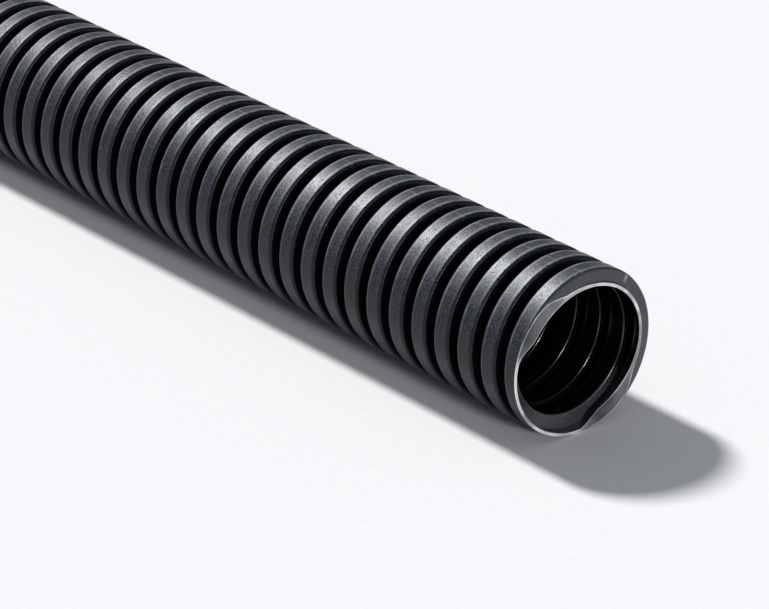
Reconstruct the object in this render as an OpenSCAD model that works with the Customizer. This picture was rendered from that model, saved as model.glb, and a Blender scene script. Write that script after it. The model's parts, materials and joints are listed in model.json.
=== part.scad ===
// Corrugated electrical conduit: one length of closed, ribbed plastic tube, cut off at both ends.
// It lies along X on the floor at z = 0, with its middle over the origin. All sizes are in millimetres.

/* [Stock] */
// Length that the stock is cut to, give or take half a rib
nominal_length = 1000; // [100:10:3000]
// Diameter over the rib crests
outside_diameter = 25; // [24:0.1:40]
// Clear diameter inside the valleys
bore_diameter = 20; // [12:0.1:21]
// Thickness of the wall, everywhere
wall = 0.5; // [0.3:0.05:0.7]

/* [Ribs] */
// Distance from one rib to the next
rib_pitch = 4.8; // [4.2:0.05:8]
// Width of a rib across the top of its crest
crest_width = 2.9; // [2:0.05:3.4]
// How far each flank leans out from the crest to the rib's foot
flank_lean = 0.25; // [0.1:0.05:0.4]

/* [Edges] */
// Rounding of the outer corners of a crest
crest_round = 0.5; // [0.1:0.05:0.7]
// Fillet outside, at the foot of a rib
foot_fillet = 0.25; // [0.05:0.05:0.3]
// Rounding of the edges that the valleys show to the bore
bore_round = 0.3; // [0.05:0.05:0.5]
// Fillet inside a rib, under its crest
pocket_fillet = 0.15; // [0.05:0.05:0.3]

/* [Cut ends] */
// Piece of valley left standing past the foot of the last rib
end_lip = 0.45; // [0.35:0.05:1.2]
// How far askew the saw went at the right end, in degrees from square
saw_slant = 3.75; // [1:0.25:5]
// Where the right end is longest: degrees from the level, behind, up over the top
saw_turn = 40; // [0:5:355]

/* [Hidden] */

// Radii of the four round walls, from the outside in
crest_radius = outside_diameter / 2;
pocket_radius = crest_radius - wall;
bore_radius = bore_diameter / 2;
valley_radius = bore_radius + wall;

// A rib is measured from the middle of its crest
crest_half = crest_width / 2;
foot_half = crest_half + flank_lean;
rib_count = round((nominal_length - 2 * (foot_half + end_lip)) / rib_pitch) + 1;
half_length = (rib_count - 1) * rib_pitch / 2 + foot_half + end_lip;

// Valley past the right end that the saw takes off
offcut = 1;

// Chords that stand for one rounded corner, and sides that show for a full circle
corner_steps = 2;
circle_sides = 48;

function unit(v) = v / norm(v);

// Place along the conduit of the middle of rib k
function rib_middle(k) = (k - (rib_count - 1) / 2) * rib_pitch;

// A corner of the section is [[radius, place along the conduit], rounding].
// One rib's four outer corners, passed with the place growing
function rib_outside(middle) = [
    [[valley_radius, middle - foot_half], foot_fillet],
    [[crest_radius, middle - crest_half], crest_round],
    [[crest_radius, middle + crest_half], crest_round],
    [[valley_radius, middle + foot_half], foot_fillet]
];

// The same rib's four inner corners, one wall further in, passed with the place falling
function rib_inside(middle) = [
    [[bore_radius, middle + foot_half - wall], bore_round],
    [[pocket_radius, middle + crest_half - wall], pocket_fillet],
    [[pocket_radius, middle - crest_half + wall], pocket_fillet],
    [[bore_radius, middle - foot_half + wall], bore_round]
];

// Points of the arc that touches both legs of the corner b, between its neighbours a and c
function corner_arc(a, b, c, rounding) =
    let (
        to_a = unit(a - b),
        to_c = unit(c - b),
        half_angle = acos(to_a * to_c) / 2,
        reach = rounding / tan(half_angle),
        centre = b + unit(to_a + to_c) * rounding / sin(half_angle),
        first = b + to_a * reach - centre,
        last = b + to_c * reach - centre
    )
    [for (i = [0 : corner_steps]) centre + rounding * unit(first + (last - first) * i / corner_steps)];

// A closed outline of corners with each rounded one drawn as its arc
function rounded(corners) =
    let (n = len(corners))
    [for (i = [0 : n - 1])
        let (corner = corners[i], before = corners[(i + n - 1) % n], after = corners[(i + 1) % n])
        each corner[1] > 0 ? corner_arc(before[0], corner[0], after[0], corner[1]) : [corner[0]]];

// The wall cut through along the axis: out along the ribs, across the right end, back along the bore
function wall_section() = rounded([
    [[valley_radius, -half_length], 0],
    for (k = [0 : rib_count - 1]) each rib_outside(rib_middle(k)),
    [[valley_radius, half_length + offcut], 0],
    [[bore_radius, half_length + offcut], 0],
    for (k = [rib_count - 1 : -1 : 0]) each rib_inside(rib_middle(k)),
    [[bore_radius, -half_length], 0]
]);

// What the saw takes off the right end: all past a plane that leans back from the longest point of the valley
module sawn_off() {
    reach = outside_diameter;
    rotate([saw_turn, 0, 0])
        translate([half_length, valley_radius, 0])
            rotate([0, 0, -saw_slant])
                translate([0, -2 * reach, -reach])
                    cube([reach, 3 * reach, 2 * reach]);
}

module conduit() {
    color([0.07, 0.07, 0.08])
        translate([0, 0, crest_radius])
            difference() {
                rotate([0, 90, 0])
                    rotate_extrude($fn = circle_sides)
                        polygon(wall_section());
                sawn_off();
            }
}

conduit();
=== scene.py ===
"""A length of corrugated electrical conduit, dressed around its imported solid.

The ribbed wall is one closed surface: its section along the axis is worked out corner by corner, rounded,
and turned round the axis, and a saw's slanting plane ends it. All sizes are in metres, in the frame of the
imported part: the conduit lies along X on the floor at z = 0, with its middle over the origin.
"""

import json

import bpy
import numpy as np
from mathutils import Matrix, Vector


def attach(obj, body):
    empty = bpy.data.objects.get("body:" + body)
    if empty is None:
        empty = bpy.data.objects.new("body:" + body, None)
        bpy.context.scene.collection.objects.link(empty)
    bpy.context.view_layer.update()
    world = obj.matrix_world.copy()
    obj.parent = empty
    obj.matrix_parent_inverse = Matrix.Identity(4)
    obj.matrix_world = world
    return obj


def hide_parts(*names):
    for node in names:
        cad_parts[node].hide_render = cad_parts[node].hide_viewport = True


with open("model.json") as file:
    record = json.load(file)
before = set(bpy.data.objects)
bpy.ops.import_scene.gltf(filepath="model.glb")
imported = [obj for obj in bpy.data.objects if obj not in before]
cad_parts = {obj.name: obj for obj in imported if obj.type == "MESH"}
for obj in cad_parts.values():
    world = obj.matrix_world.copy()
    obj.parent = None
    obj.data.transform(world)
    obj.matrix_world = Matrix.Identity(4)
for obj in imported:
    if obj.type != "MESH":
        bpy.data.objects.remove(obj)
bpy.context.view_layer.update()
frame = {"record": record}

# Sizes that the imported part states
MM = 0.001
MOUNTS = {mount["name"]: mount for mount in frame["record"]["mounts"]}
BORE_RADIUS = MOUNTS["cable_bore"]["dims"]["r_mm"] * MM
CREST_RADIUS = MOUNTS["rib_crests"]["dims"]["r_mm"] * MM
HALF_LENGTH = MOUNTS["cable_bore"]["dims"]["length_mm"] * MM / 2
AXIS_HEIGHT = MOUNTS["cable_bore"]["pos_m"][2]
SAW_AXIS = np.array(MOUNTS["cut_end_right"]["axis"])

# Sizes of the ribs, as in the part's source
WALL = 0.5 * MM
RIB_PITCH = 4.8 * MM
CREST_HALF = 1.45 * MM
FLANK_LEAN = 0.25 * MM
CREST_ROUND = 0.5 * MM
FOOT_FILLET = 0.25 * MM
BORE_ROUND = 0.3 * MM
POCKET_FILLET = 0.15 * MM
END_LIP = 0.45 * MM
FOOT_HALF = CREST_HALF + FLANK_LEAN
POCKET_RADIUS = CREST_RADIUS - WALL
VALLEY_RADIUS = BORE_RADIUS + WALL
RIB_COUNT = int(round((HALF_LENGTH - FOOT_HALF - END_LIP) * 2 / RIB_PITCH)) + 1
LAST_RIB = (RIB_COUNT - 1) / 2 * RIB_PITCH

# The saw's cut: the rounding of its edges, how unevenly it runs, the waves in which it does (how many go
# round the cut, their height and their phase), and the spare wall that the saw took off
CUT_ROUND = 0.06 * MM
CUT_UNEVEN = 0.06 * MM
CUT_WAVES = ((2, 1.0, 0.6), (3, 0.6, 2.1), (7, 0.4, 4.0))
OFFCUT = 1.0 * MM

# The cut is looked for at this many steps along the last of the section, and the rows past it are drawn
# back in front of it, this far apart
CUT_STEPS = 4001
ROW_GAP = 0.003 * MM

# Rows on the cut's face, from either edge inwards, and how white the saw left the face between its white
# edges: where it is no broader than the wall, and where it is far broader
FACE_ROWS = CUT_ROUND * np.array([1, 3.5])
NARROW_WHITENING = 0.8
BROAD_WHITENING = 0.1

# Ribs next to the open end that are drawn finely, those of them that show in the bore, and the sides of the
# round wall there and beyond, three to one. With neither a multiple of four, no corner lies level with the
# axis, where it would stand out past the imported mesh.
FINE_RIBS = 31
BORE_RIBS = 8
FINE_SIDES = 90
FAR_SIDES = 30

# Turns round the axis, from the level on the far side up over the top: the mould's parting line, and a scuff
# on the last flank, with half the width of each
PARTING_TURN = np.radians(93.0)
PARTING_HALF = 0.15 * MM
SCUFF_TURN = np.radians(51.0)
SCUFF_HALF = 0.4 * MM

# Painted highlight lines along a crest's edges: place from the rib's middle, and half the width
FAR_EDGE = -1.06 * MM
FAR_EDGE_HALF = 0.32 * MM
NEAR_EDGE = 0.88 * MM
NEAR_EDGE_HALF = 0.36 * MM

# Where the marks and the painted light fade: distances from the axis for the marks on a crest (its specks,
# its painted highlight lines and its parting line) and for the scuff, the place along the conduit for the
# painted light on the last flank, and heights for the painted light low in the last rib's pocket
CREST_MARK_NONE, CREST_MARK_FULL = CREST_RADIUS - 0.2 * MM, CREST_RADIUS - 0.05 * MM
SCUFF_NONE, SCUFF_FULL = VALLEY_RADIUS + 0.5 * MM, POCKET_RADIUS - 0.3 * MM
END_LIGHT_NONE, END_LIGHT_FULL = LAST_RIB + CREST_HALF - 0.3 * MM, LAST_RIB + CREST_HALF
POCKET_LIGHT_NONE, POCKET_LIGHT_FULL = AXIS_HEIGHT - 5.5 * MM, AXIS_HEIGHT - 9.0 * MM

# Lumps per metre in each of the plastic's patterns, and the depth of its relief
GRAIN = 5000.0
PEBBLES = 2600.0
PITS = 1900.0
MOTTLE = 650.0
SHEEN_PATCHES = 280.0
SAW_BLOTCHES = 260.0
RELIEF_DEPTH = 0.03 * MM

# Colours of the plastic, of the marks on it and of the light and shade painted on it: linear red, green and
# blue, and no see-through
SATIN_BLACK = (0.0030, 0.0034, 0.0044, 1)
# Specks of the grain, fewer towards the bottom, which paints shade on the lower sides
SPECK_BLUE = (0.0600, 0.0680, 0.0960, 1)
# Painted highlight on the edges of the crests
EDGE_HIGHLIGHT_GREY = (0.300, 0.305, 0.320, 1)
PARTING_GREY = (0.170, 0.175, 0.190, 1)
# Painted light: a lighter grey on the last flank and low in the last rib's pocket
PAINTED_LIGHT_GREY = (0.068, 0.071, 0.078, 1)
SCUFF_GREY = (0.260, 0.265, 0.275, 1)
SAWN_WHITE = (0.860, 0.865, 0.875, 1)
BORE_BLACK = (0.0024, 0.0026, 0.0033, 1)
BORE_GRAIN = (0.0036, 0.0039, 0.0048, 1)

# The room: half the floor's width, the paper's flecks per metre, and the colours of the paper and the air
FLOOR = 20.0
FLECKS = 900.0
PAPER_GREY = (0.86, 0.86, 0.86, 1)
PAPER_WHITE = (0.89, 0.89, 0.89, 1)
ROOM_GREY = (0.155, 0.168, 0.195, 1)

# Camera: focal length in pixels of the 769-pixel-wide picture, turn about the upright and drop below the
# level in radians, and place from the middle of the last rib
PICTURE_WIDTH = 769
FOCAL_PIXELS = 4000.0
SENSOR_WIDTH = 36.0
NEAREST_SEEN = 10 * MM
VIEW_TURN = 0.8561
VIEW_DROP = 0.4537
CAMERA_RIGHT = -26.516 * MM
CAMERA_BACK = 491.708 * MM
CAMERA_HEIGHT = 259.2 * MM


def rounded_ribs(offsets, radii, rounding, fine_chords, far_chords, fine_ribs):
    """One side of the wall along all ribs: (place, radius, normal) of each row, with the place growing.

    The rib of each row comes with it. A rib has four corners. A corner's arc touches both its legs: its
    normal turns evenly from one leg's normal to the other's, and a point lies one rounding away from the
    arc's centre along that normal, outwards on an edge and inwards in a fillet. A corner with no chords is
    the one point in the middle of its arc.
    """
    rib = np.arange(RIB_COUNT)
    along = (rib[:, None] - (RIB_COUNT - 1) / 2) * RIB_PITCH + np.array(offsets)
    corners = np.stack([along, np.broadcast_to(radii, along.shape)], axis=-1).reshape(-1, 2)
    rounding = np.tile(rounding, RIB_COUNT)
    chords = np.where(rib[:, None] >= RIB_COUNT - fine_ribs, fine_chords, far_chords).ravel()

    leg = np.diff(corners, axis=0)
    leg /= np.linalg.norm(leg, axis=1, keepdims=True)
    level = np.array([[1.0, 0.0]])
    before, after = np.concatenate([level, leg]), np.concatenate([leg, level])
    heading = np.arctan2(before[:, 0], -before[:, 1])
    bend = np.arctan2(before[:, 0] * after[:, 1] - before[:, 1] * after[:, 0], (before * after).sum(axis=1))
    outwards = -np.sign(bend)
    middle = heading + bend / 2
    bisector = np.stack([np.cos(middle), np.sin(middle)], axis=1) / np.cos(bend / 2)[:, None]
    centre = corners - (outwards * rounding)[:, None] * bisector

    corner = np.repeat(np.arange(len(corners)), chords + 1)
    first = np.cumsum(chords + 1) - (chords + 1)
    step = np.arange(len(corner)) - first[corner]
    share = np.where(chords[corner] > 0, step / np.maximum(chords[corner], 1), 0.5)
    angle = heading[corner] + bend[corner] * share
    normals = np.stack([np.cos(angle), np.sin(angle)], axis=1)
    points = centre[corner] + (outwards * rounding)[corner, None] * normals
    return np.column_stack([points, normals]), corner // len(offsets)


def saw_plane(radius, turn):
    """Where the saw's plane lies along the conduit: at the half length, where the valley is longest.

    It leans back from there as the part's cut does, with a few slow waves, none of them past it.
    """
    lean = -SAW_AXIS[1:] / SAW_AXIS[0]
    back = np.linalg.norm(lean) * VALLEY_RADIUS - radius * (lean[0] * np.cos(turn) + lean[1] * np.sin(turn))
    waves = sum(height * np.sin(count * turn + phase) for count, height, phase in CUT_WAVES)
    highest = sum(height for _, height, _ in CUT_WAVES)
    return HALF_LENGTH - back - CUT_UNEVEN * (highest + waves) / (2 * highest)


def sawn_side(rows, turn):
    """One side of the wall at each turn, ended by the saw: its rows, and where they meet the saw's plane.

    A row keeps its distance along the section, or lies just short of the saw's plane where that comes first.
    """
    spare = [HALF_LENGTH + OFFCUT, *rows[-1, 1:]]
    rows = np.vstack([rows, spare])
    run = np.concatenate([[0], np.cumsum(np.linalg.norm(np.diff(rows[:, :2], axis=0), axis=1))])

    def at(distance):
        """The section's row at this distance along it, between the nearest two."""
        return np.stack([np.interp(distance, run, column) for column in rows.T], axis=-1)

    reach = np.linspace(run[-1] - 2 * RIB_PITCH, run[-1], CUT_STEPS)
    ahead = at(reach)
    past = ahead[:, :1] - saw_plane(ahead[:, 1:2], turn)
    cut = reach[np.argmax(past > 0, axis=0)]
    drawn_back = CUT_ROUND + np.arange(len(run))[::-1, None] * ROW_GAP
    return at(np.minimum(run[:, None], cut - drawn_back)), at(cut)[:, :2]


def turned(rows, turn, flip=1.0):
    """Rows of the section turned round the axis: vertices and their normals, which point out of the wall.

    x is the place along, y the radius times the cosine of the turn, and z the axis height plus the radius
    times its sine.
    """
    along, radius, flat, upright = np.moveaxis(rows, -1, 0)
    sine, cosine = np.sin(turn), np.cos(turn)
    vertices = np.stack([along, radius * cosine, AXIS_HEIGHT + radius * sine], axis=-1)
    return vertices, flip * np.stack([flat, upright * cosine, upright * sine], axis=-1)


def open_end_strip(outside, inside):
    """The finely drawn ribs: outside to the saw's cut, across it, and back inside.

    Given as vertices, normals, how much the saw has marked each, and whether it lies inside. Over the cut's
    face the marks fade from its edges, the more the broader it is: with the square of the wall's share of
    the face's width.
    """
    turn = np.pi / 2 + np.arange(FINE_SIDES) * 2 * np.pi / FINE_SIDES
    outer, outer_edge = sawn_side(outside, turn)
    inner, inner_edge = sawn_side(inside, turn)
    inner = inner[::-1]
    width = np.linalg.norm(outer_edge - inner_edge, axis=1)
    depth = np.multiply.outer(FACE_ROWS, 1 / width)
    share = np.concatenate([depth, np.full((1, FINE_SIDES), 0.5), 1 - depth[::-1]])[..., None]
    face = outer_edge + (inner_edge - outer_edge) * share
    outer_points, outer_normals = turned(outer, turn)
    face_points, _ = turned(np.concatenate([face, 0 * face], axis=-1), turn)
    inner_points, inner_normals = turned(inner, turn, -1.0)
    face_normals = np.broadcast_to(SAW_AXIS, face_points.shape)
    points = np.concatenate([outer_points, face_points, inner_points])
    normals = np.concatenate([outer_normals, face_normals, inner_normals])
    sawn, within = np.zeros((2,) + points.shape[:2])
    narrow = (WALL / np.maximum(width, WALL)) ** 2
    sawn[len(outer) : -len(inner)] = BROAD_WHITENING + (NARROW_WHITENING - BROAD_WHITENING) * narrow
    sawn[[len(outer), -len(inner) - 1]] = 1.0
    within[-len(inner) :] = 1.0
    return points, normals, sawn, within


def far_end_strip(outside, inside):
    """The ribs beyond, in the same way: inside to the far cut, square across it, and out again."""
    turn = np.pi / 2 + np.arange(FAR_SIDES) * 2 * np.pi / FAR_SIDES
    along = -HALF_LENGTH + CUT_ROUND * np.array([1, 0, 0, 1])
    radius = np.array([BORE_RADIUS, BORE_RADIUS + CUT_ROUND, VALLEY_RADIUS - CUT_ROUND, VALLEY_RADIUS])
    flat, upright = np.array([0, -1, -1, 0]), np.array([-1, 0, 0, 1])
    face = np.column_stack([along, radius, flat, upright])
    inside = inside[::-1] * np.array([1, 1, -1, -1])
    rows = np.concatenate([inside, face, outside])
    points, normals = turned(np.repeat(rows[:, None], FAR_SIDES, axis=1), turn)
    sawn, within = np.zeros((2,) + points.shape[:2])
    sawn[len(inside) + 1 : len(inside) + 3] = 1.0
    within[: len(inside)] = 1.0
    return points, normals, sawn, within


def strip_faces(index):
    """Four-cornered faces between neighbouring rows of a strip, closed round the axis."""
    beside = np.roll(index, -1, axis=1)
    return np.stack([index[:-1], beside[:-1], beside[1:], index[1:]], axis=-1).reshape(-1, 4)


def joint_faces(fine_row, far_row, fine_first):
    """Six-cornered faces between a row of the fine strip and one of the far strip, three sides to one."""
    fine = fine_row.reshape(-1, FINE_SIDES // FAR_SIDES)
    ahead = np.roll(fine[:, 0], -1)
    far, beside = far_row, np.roll(far_row, -1)
    if fine_first:
        return np.column_stack([fine, ahead, beside, far])
    return np.column_stack([far, beside, ahead, fine[:, ::-1]])


def mesh_object(name, vertices, faces, normals=None):
    """A mesh object made from whole arrays of faces, smooth where it is given its normals."""
    counts = np.concatenate([np.full(len(block), block.shape[1]) for block in faces])
    corners = np.concatenate([block.ravel() for block in faces])
    mesh = bpy.data.meshes.new(name)
    mesh.vertices.add(len(vertices))
    mesh.vertices.foreach_set("co", np.ascontiguousarray(vertices, np.float32).ravel())
    mesh.loops.add(len(corners))
    mesh.loops.foreach_set("vertex_index", corners.astype(np.int32))
    mesh.polygons.add(len(counts))
    mesh.polygons.foreach_set("loop_start", (np.cumsum(counts) - counts).astype(np.int32))
    mesh.update(calc_edges=True)
    if normals is not None:
        mesh.polygons.foreach_set("use_smooth", np.ones(len(counts), bool))
        mesh.normals_split_custom_set_from_vertices(normals)
    piece = bpy.data.objects.new(name, mesh)
    bpy.context.scene.collection.objects.link(piece)
    return piece


def conduit_wall():
    """The whole wall: the fine strip and the far strip, joined in a valley outside and on a land inside.

    A face lies in the bore where all its corners do, and takes the bore's finish there.
    """
    outside, outside_rib = rounded_ribs(
        offsets=(-FOOT_HALF, -CREST_HALF, CREST_HALF, FOOT_HALF),
        radii=(VALLEY_RADIUS, CREST_RADIUS, CREST_RADIUS, VALLEY_RADIUS),
        rounding=(FOOT_FILLET, CREST_ROUND, CREST_ROUND, FOOT_FILLET),
        fine_chords=(1, 2, 2, 1),
        far_chords=(0, 1, 1, 0),
        fine_ribs=FINE_RIBS,
    )
    inner_foot, inner_crest = FOOT_HALF - WALL, CREST_HALF - WALL
    inside, inside_rib = rounded_ribs(
        offsets=(-inner_foot, -inner_crest, inner_crest, inner_foot),
        radii=(BORE_RADIUS, POCKET_RADIUS, POCKET_RADIUS, BORE_RADIUS),
        rounding=(BORE_ROUND, POCKET_FILLET, POCKET_FILLET, BORE_ROUND),
        fine_chords=(3, 1, 1, 3),
        far_chords=(0, 0, 0, 0),
        fine_ribs=BORE_RIBS,
    )
    first_fine = RIB_COUNT - FINE_RIBS
    fine = open_end_strip(outside[outside_rib >= first_fine], inside[inside_rib >= first_fine])
    far = far_end_strip(outside[outside_rib < first_fine], inside[inside_rib < first_fine])
    fine_index = np.arange(fine[2].size).reshape(fine[2].shape)
    far_index = fine_index.size + np.arange(far[2].size).reshape(far[2].shape)
    faces = [
        np.concatenate([strip_faces(fine_index), strip_faces(far_index)]),
        joint_faces(fine_index[-1], far_index[0], fine_first=True),
        joint_faces(fine_index[0], far_index[-1], fine_first=False),
    ]
    both = list(zip(fine, far))
    points, normals = (np.concatenate([a.reshape(-1, 3), b.reshape(-1, 3)]) for a, b in both[:2])
    sawn, within = (np.concatenate([a.ravel(), b.ravel()]) for a, b in both[2:])
    normals /= np.linalg.norm(normals, axis=1, keepdims=True)
    piece = mesh_object("conduit_wall", points, faces, normals)
    piece.data.materials.append(satin_black_plastic())
    piece.data.materials.append(shiny_bore_plastic())
    in_bore = np.concatenate([within[block].min(axis=1) for block in faces])
    piece.data.polygons.foreach_set("material_index", in_bore.astype(np.int32))
    marks = piece.data.attributes.new("saw_marks", "FLOAT", "POINT")
    marks.data.foreach_set("value", np.ascontiguousarray(sawn, np.float32))
    return piece


class Finish:
    """A material's nodes, added one by one: inputs are numbers, colours or other nodes' outputs."""

    def __init__(self, name):
        self.material = bpy.data.materials.new(name)
        self.material.use_nodes = True
        self.tree = self.material.node_tree
        self.tree.nodes.clear()

    def add(self, kind, inputs, **settings):
        """A node of this kind, with its inputs by name or number."""
        node = self.tree.nodes.new("ShaderNode" + kind)
        for key, value in settings.items():
            setattr(node, key, value)
        for key, value in inputs.items():
            if isinstance(value, bpy.types.NodeSocket):
                self.tree.links.new(value, node.inputs[key])
            else:
                node.inputs[key].default_value = value
        return node

    def math(self, operation, *values):
        """What the operation makes of the values."""
        return self.add("Math", dict(enumerate(values)), operation=operation).outputs[0]

    def total(self, value, *others):
        """All the values added up."""
        for other in others:
            value = self.math("ADD", value, other)
        return value

    def product(self, value, *others):
        """All the values multiplied together."""
        for other in others:
            value = self.math("MULTIPLY", value, other)
        return value

    def ramp(self, value, low, high, to_low=0.0, to_high=1.0):
        """The value's way from low to high, as a number from to_low to to_high, held at both."""
        limits = {"From Min": low, "From Max": high, "To Min": to_low, "To Max": to_high}
        return self.add("MapRange", {"Value": value, **limits}).outputs[0]

    def noise(self, place, scale, detail, roughness=0.5):
        """A cloudy pattern about one half, with this many lumps per metre."""
        inputs = {"Vector": place, "Scale": scale, "Detail": detail, "Roughness": roughness}
        return self.add("TexNoise", inputs).outputs[0]

    def blend(self, share, first, second):
        """A colour between two: 6 and 7 are a Mix node's colour inputs, and 2 its colour output."""
        return self.add("Mix", {"Factor": share, 6: first, 7: second}, data_type="RGBA").outputs[2]

    def mark(self, name):
        """The number that the mesh holds under this name."""
        return self.add("Attribute", {}, attribute_name=name).outputs["Fac"]

    def relief(self, height, strength):
        """The surface's direction where this height roughens it."""
        inputs = {"Height": height, "Strength": strength, "Distance": RELIEF_DEPTH}
        return self.add("Bump", inputs).outputs[0]

    def surface(self, **inputs):
        """The finished material, with the shader's inputs by name."""
        sockets = {key.replace("_", " "): value for key, value in inputs.items()}
        shader = self.add("BsdfPrincipled", sockets)
        self.add("OutputMaterial", {"Surface": shader.outputs[0]})
        return self.material


def wall_places(finish):
    """Where a point of the wall lies: its place, the way out to it from the axis, and the way round that."""
    here = finish.add("TexCoord", {}).outputs["Object"]
    from_axis = {"Vector": here, "Location": (0, 0, -AXIS_HEIGHT), "Scale": (0, 1, 1)}
    across = finish.add("Mapping", from_axis).outputs[0]
    round_axis = finish.add("VectorMath", {0: (1, 0, 0), 1: across}, operation="CROSS_PRODUCT").outputs[0]
    settings = {"vector_type": "VECTOR", "convert_from": "OBJECT", "convert_to": "WORLD"}
    round_axis = finish.add("VectorTransform", {0: round_axis}, **settings).outputs[0]
    return here, across, round_axis


def near_turn(finish, across, turn, half_width):
    """One where the wall lies by the half plane at this turn round the axis, fading out by half_width."""
    turned_back = finish.add("Mapping", {"Vector": across, "Rotation": (-turn, 0, 0)}).outputs[0]
    parts = finish.add("SeparateXYZ", {0: turned_back}).outputs
    beside = finish.ramp(finish.math("ABSOLUTE", parts["Z"]), half_width * 0.4, half_width, 1.0, 0.0)
    return finish.product(beside, finish.math("GREATER_THAN", parts["Y"], 0.0))


def crest_edge_highlights(finish, along, high):
    """How strongly a crest's two edges are painted with highlight lines: most on their lines, and less to
    both sides and downwards, so that they show as lit from above.

    The painted highlight on the edge towards the open end lies only near the top.
    """
    from_rib = finish.math("WRAP", finish.math("SUBTRACT", along, LAST_RIB), RIB_PITCH / 2, -RIB_PITCH / 2)

    def line(place, half_width):
        """One at this place from a rib's middle, fading out to both sides."""
        beside = finish.math("ABSOLUTE", finish.math("SUBTRACT", from_rib, place))
        return finish.ramp(beside, 0.0, half_width, 1.0, 0.0)

    far_edge = line(FAR_EDGE, FAR_EDGE_HALF)
    near_edge = finish.product(line(NEAR_EDGE, NEAR_EDGE_HALF), finish.ramp(high, 0.5, 0.9, 0.1, 0.6))
    return finish.product(finish.total(far_edge, near_edge), finish.ramp(high, 0.2, 0.9, 0.12, 1.0))


def satin_black_plastic():
    """The outside: a bluish charcoal, satin, with a fine pebbled grain, and painted highlight lines along the
    edges of its crests.

    It is drawn lengthwise, which spreads the sheen round the axis. Its specks thin out downwards, which
    paints shade on the lower sides. The mould's parting line crosses the crests, painted light greys the last
    flank, and the saw has whitened the cut ends.
    """
    finish = Finish("satin_black_plastic")
    here, across, round_axis = wall_places(finish)
    radius = finish.add("VectorMath", {0: across}, operation="LENGTH").outputs["Value"]
    along, _, height = finish.add("SeparateXYZ", {0: here}).outputs
    high = finish.ramp(height, AXIS_HEIGHT, 2 * AXIS_HEIGHT - CREST_ROUND)
    on_crest = finish.ramp(radius, CREST_MARK_NONE, CREST_MARK_FULL)
    on_outer_flank = finish.ramp(radius, SCUFF_NONE, SCUFF_FULL)
    on_end_flank = finish.ramp(along, END_LIGHT_NONE, END_LIGHT_FULL)

    grain = finish.noise(here, GRAIN, 2.0, 0.6)
    pebbles = finish.noise(here, PEBBLES, 2.0, 0.55)
    mottle = finish.noise(here, MOTTLE, 3.0)
    tone = finish.total(finish.product(grain, 0.6), finish.product(mottle, 0.4))
    pits = finish.ramp(finish.noise(here, PITS, 1.0), 0.27, 0.33, 1.0, 0.0)
    patches = finish.ramp(finish.noise(here, SHEEN_PATCHES, 3.0, 0.6), 0.36, 0.64, 0.04, 0.0)
    blotches = finish.ramp(finish.noise(here, SAW_BLOTCHES, 2.0), 0.38, 0.58, 0.4, 1.0)

    # Grain specks on the crests, thinning out towards the bottom: painted shade on the lower sides
    specks_and_low_shade = finish.product(finish.ramp(grain, 0.45, 0.64), on_crest, finish.ramp(high, 0.0, 0.8, 0.3, 1.0))
    # Painted highlight lines along the crests' edges, brighter towards the top
    edge_highlight = finish.product(crest_edge_highlights(finish, along, high), on_crest, finish.ramp(mottle, 0.3, 0.6, 0.4, 1.0))
    parting = near_turn(finish, across, PARTING_TURN, PARTING_HALF)
    parting = finish.product(parting, on_crest, finish.ramp(grain, 0.35, 0.6))
    # Painted light: the last flank greyed lighter
    painted_light = finish.product(on_end_flank, finish.ramp(grain, 0.35, 0.65, 0.6, 1.0))
    scuff = near_turn(finish, across, SCUFF_TURN, SCUFF_HALF)
    scuff = finish.product(scuff, on_end_flank, on_outer_flank)
    sawn = finish.product(finish.mark("saw_marks"), blotches)

    colour = finish.blend(specks_and_low_shade, SATIN_BLACK, SPECK_BLUE)
    colour = finish.blend(edge_highlight, colour, EDGE_HIGHLIGHT_GREY)
    colour = finish.blend(parting, colour, PARTING_GREY)
    colour = finish.blend(painted_light, colour, PAINTED_LIGHT_GREY)
    colour = finish.blend(scuff, colour, SCUFF_GREY)
    colour = finish.blend(sawn, colour, SAWN_WHITE)

    satin = finish.total(finish.ramp(tone, 0.36, 0.64, 0.29, 0.37), patches)
    bumps = finish.total(tone, parting, finish.product(pebbles, 1.5))
    bumps = finish.math("SUBTRACT", bumps, finish.product(pits, 0.6))
    return finish.surface(
        Base_Color=colour,
        Roughness=finish.math("MAXIMUM", satin, finish.product(sawn, 0.6)),
        Normal=finish.relief(bumps, 0.7),
        Specular_IOR_Level=0.26,
        Specular_Tint=(0.98, 1.0, 1.10, 1),
        Anisotropic=0.8,
        Tangent=round_axis,
    )


def shiny_bore_plastic():
    """The inside: the same plastic, blacker, smoother and shinier, with painted light low in the last rib's
    pocket.
    """
    finish = Finish("shiny_bore_plastic")
    here, _, round_axis = wall_places(finish)
    along, _, height = finish.add("SeparateXYZ", {0: here}).outputs
    in_last_rib = finish.math("GREATER_THAN", along, LAST_RIB - CREST_HALF)
    low = finish.ramp(height, POCKET_LIGHT_FULL, POCKET_LIGHT_NONE, 1.0, 0.0)
    grain = finish.noise(here, GRAIN, 2.0, 0.6)
    # Painted light: a lighter grey low in the last rib's pocket, where the light falls in
    painted_light = finish.product(in_last_rib, low, finish.ramp(grain, 0.35, 0.65, 0.6, 1.0))
    colour = finish.blend(finish.ramp(grain, 0.4, 0.6), BORE_BLACK, BORE_GRAIN)
    shine = finish.ramp(grain, 0.35, 0.65, 0.13, 0.17)
    return finish.surface(
        Base_Color=finish.blend(painted_light, colour, PAINTED_LIGHT_GREY),
        Roughness=finish.total(shine, finish.product(painted_light, 0.2)),
        Normal=finish.relief(grain, 0.05),
        Specular_IOR_Level=0.7,
        Specular_Tint=(0.98, 1.0, 1.06, 1),
        Anisotropic=0.7,
        Tangent=round_axis,
    )


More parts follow.
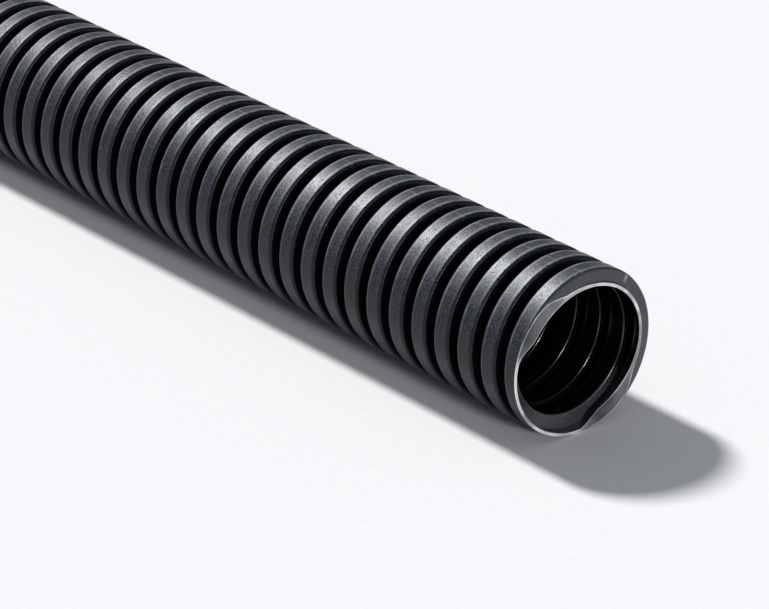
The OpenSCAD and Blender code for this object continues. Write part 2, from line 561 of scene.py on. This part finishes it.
def pale_paper():
    """The floor's paper: pale, matt and very slightly mottled."""
    finish = Finish("pale_paper")
    here = finish.add("TexCoord", {}).outputs["Object"]
    fleck = finish.ramp(finish.noise(here, FLECKS, 2.0), 0.3, 0.7)
    return finish.surface(Base_Color=finish.blend(fleck, PAPER_GREY, PAPER_WHITE), Roughness=0.9)


def paper_floor():
    """The floor: one square face under the conduit, far wider than any view of it."""
    corners = FLOOR * np.array([[-1, -1, 0], [1, -1, 0], [1, 1, 0], [-1, 1, 0]])
    piece = mesh_object("floor", corners, [np.array([[0, 1, 2, 3]])])
    piece.data.materials.append(pale_paper())
    return piece


def view_axes():
    """The camera's right and its level forward direction: the conduit's own axes turned about the upright."""
    right = Vector((np.cos(VIEW_TURN), np.sin(VIEW_TURN), 0))
    forward = Vector((-np.sin(VIEW_TURN), np.cos(VIEW_TURN), 0))
    return right, forward


def place_camera():
    """The camera stands back from the last rib, above it, and looks down past it."""
    right, forward = view_axes()
    up = Vector((0, 0, 1))
    camera = bpy.data.objects.new("camera", bpy.data.cameras.new("camera"))
    camera.data.sensor_width = SENSOR_WIDTH
    camera.data.lens = SENSOR_WIDTH * FOCAL_PIXELS / PICTURE_WIDTH
    camera.data.clip_start = NEAREST_SEEN
    sight = forward * np.cos(VIEW_DROP) - up * np.sin(VIEW_DROP)
    crown = forward * np.sin(VIEW_DROP) + up * np.cos(VIEW_DROP)
    place = Vector((LAST_RIB, 0, CAMERA_HEIGHT)) + right * CAMERA_RIGHT - forward * CAMERA_BACK
    turn = Matrix((right, crown, -sight)).transposed().to_4x4()
    camera.matrix_world = Matrix.Translation(place) @ turn
    bpy.context.scene.collection.objects.link(camera)
    bpy.context.scene.camera = camera


def hang_lamp(name, bearing, height, spread, strength):
    """A soft round lamp, so far off that it lights the whole floor evenly, and this many degrees across.

    The bearing is in degrees from the camera's right, away from the viewer, and the height from the level.
    """
    right, forward = view_axes()
    bearing, height = np.radians((bearing, height))
    level = right * np.cos(bearing) + forward * np.sin(bearing)
    towards = level * np.cos(height) + Vector((0, 0, np.sin(height)))
    lamp = bpy.data.objects.new(name, bpy.data.lights.new(name, "SUN"))
    lamp.data.angle = np.radians(spread)
    lamp.data.energy = strength
    lamp.matrix_world = towards.to_track_quat("Z", "Y").to_matrix().to_4x4()
    bpy.context.scene.collection.objects.link(lamp)


def light_room():
    """A bluish grey room, with a key lamp behind on the left and a low, weaker fill lamp in front."""
    world = bpy.data.worlds.new("room")
    world.use_nodes = True
    world.node_tree.nodes["Background"].inputs["Color"].default_value = ROOM_GREY
    bpy.context.scene.world = world
    hang_lamp("key_lamp", bearing=136, height=48, spread=8.0, strength=3.3)
    hang_lamp("fill_lamp", bearing=-62, height=18, spread=8.0, strength=1.35)


conduit = conduit_wall()
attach(conduit, "root")
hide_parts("conduit")

floor = paper_floor()

place_camera()
light_room()
bpy.context.scene.view_settings.view_transform = "Standard"
